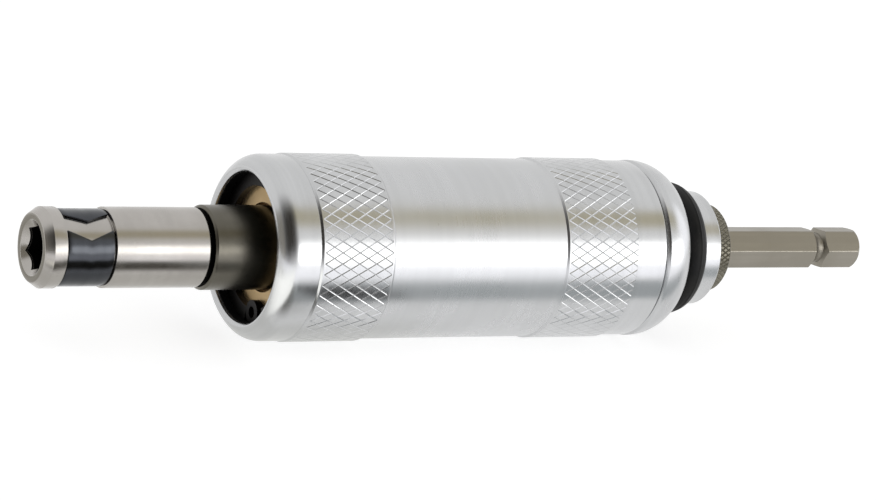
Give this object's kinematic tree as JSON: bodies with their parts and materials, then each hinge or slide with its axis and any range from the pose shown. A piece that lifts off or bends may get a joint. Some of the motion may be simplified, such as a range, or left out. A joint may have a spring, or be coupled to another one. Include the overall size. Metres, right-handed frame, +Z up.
{
  "type": "torque screwdriver",
  "caption": "In-line torque driver: knurled barrel with a slipping ball clutch, a hex socket bit holder in front and a hex drive shank behind.",
  "frame": {"origin": "centre of the bit holder's front face, on the tool's axis", "axes": "+X along the tool's axis from the bit holder to the drive shank, +Z up as the tool lies on its side on its knurled bands"},
  "size_m": [0.153, 0.0298, 0.0298],
  "materials": {
    "turned_aluminium": "satin, fine turning lines, diamond knurl on two bands",
    "black_rubber": "matte moulded rubber",
    "ground_steel": "ground and polished",
    "blued_spring_steel": "blued, glossy",
    "polished_ball_steel": "polished",
    "darkened_steel": "dark oxide, satin",
    "blackened_steel": "black oxide",
    "brass": "turned face",
    "bronze": "turned",
    "hardened_steel": "ground",
    "spring_steel": "drawn wire, ends ground",
    "shank_steel": "satin, drawn hexagon",
    "knurled_steel": "fine knurl"
  },
  "bodies": {
    "housing": {"barrel": "turned_aluminium", "end_cap": "turned_aluminium", "cap_sealing_ring": "black_rubber", "drive_shank": "shank_steel", "shank_lock_ring": "knurled_steel", "front_snap_ring": "blackened_steel", "front_washer": "brass", "front_bush": "bronze", "thrust_washer": "hardened_steel", "drive_key_1": "hardened_steel", "drive_key_2": "hardened_steel", "drive_key_3": "hardened_steel", "adjuster_snap_ring": "blackened_steel", "adjuster_washer": "hardened_steel"},
    "spindle": {"output_spindle": "darkened_steel", "bit_holder": "ground_steel", "retaining_band": "blued_spring_steel"},
    "bit_ball": {"bit_retaining_ball": "polished_ball_steel"},
    "clutch_plate": {"pressure_plate": "hardened_steel", "clutch_ball_1": "polished_ball_steel", "clutch_ball_2": "polished_ball_steel", "clutch_ball_3": "polished_ball_steel", "clutch_ball_4": "polished_ball_steel", "clutch_ball_5": "polished_ball_steel", "clutch_ball_6": "polished_ball_steel", "spring_washer": "hardened_steel"},
    "adjuster": {"adjusting_screw": "hardened_steel", "adjuster_friction_ring": "black_rubber"},
    "travelling_seat": {"spring_seat": "hardened_steel", "torque_spring": "spring_steel"}
  },
  "joints": [
    {"name": "spindle_slip", "type": "hinge", "parent": "housing", "child": "spindle", "pos_m": [0.0445, 0, 0], "axis": [1, 0, 0], "continuous": true},
    {"name": "clutch_lift", "type": "slide", "parent": "housing", "child": "clutch_plate", "axis": [1, 0, 0], "range_m": [0, 0.00085], "stiffness_N_per_m": 1000, "springref_m": -0.0005, "deforming": ["torque_spring"]},
    {"name": "adjuster_turn", "type": "hinge", "parent": "housing", "child": "adjuster", "pos_m": [0.1, 0, 0], "axis": [-1, 0, 0], "range_deg": [-1080, 540]},
    {"name": "seat_travel", "type": "slide", "parent": "housing", "child": "travelling_seat", "axis": [-1, 0, 0], "range_m": [-0.0031, 0.0016], "deforming": ["torque_spring"]},
    {"name": "bit_ball_out", "type": "slide", "parent": "spindle", "child": "bit_ball", "axis": [0, 0.5446, -0.8387], "range_m": [0, 0.00042], "stiffness_N_per_m": 20, "springref_m": -0.0005, "deforming": ["retaining_band"]}
  ],
  "couplings": [
    {"joint": "seat_travel", "follows": "adjuster_turn", "m_per_rad": 0.00015915}
  ]
}
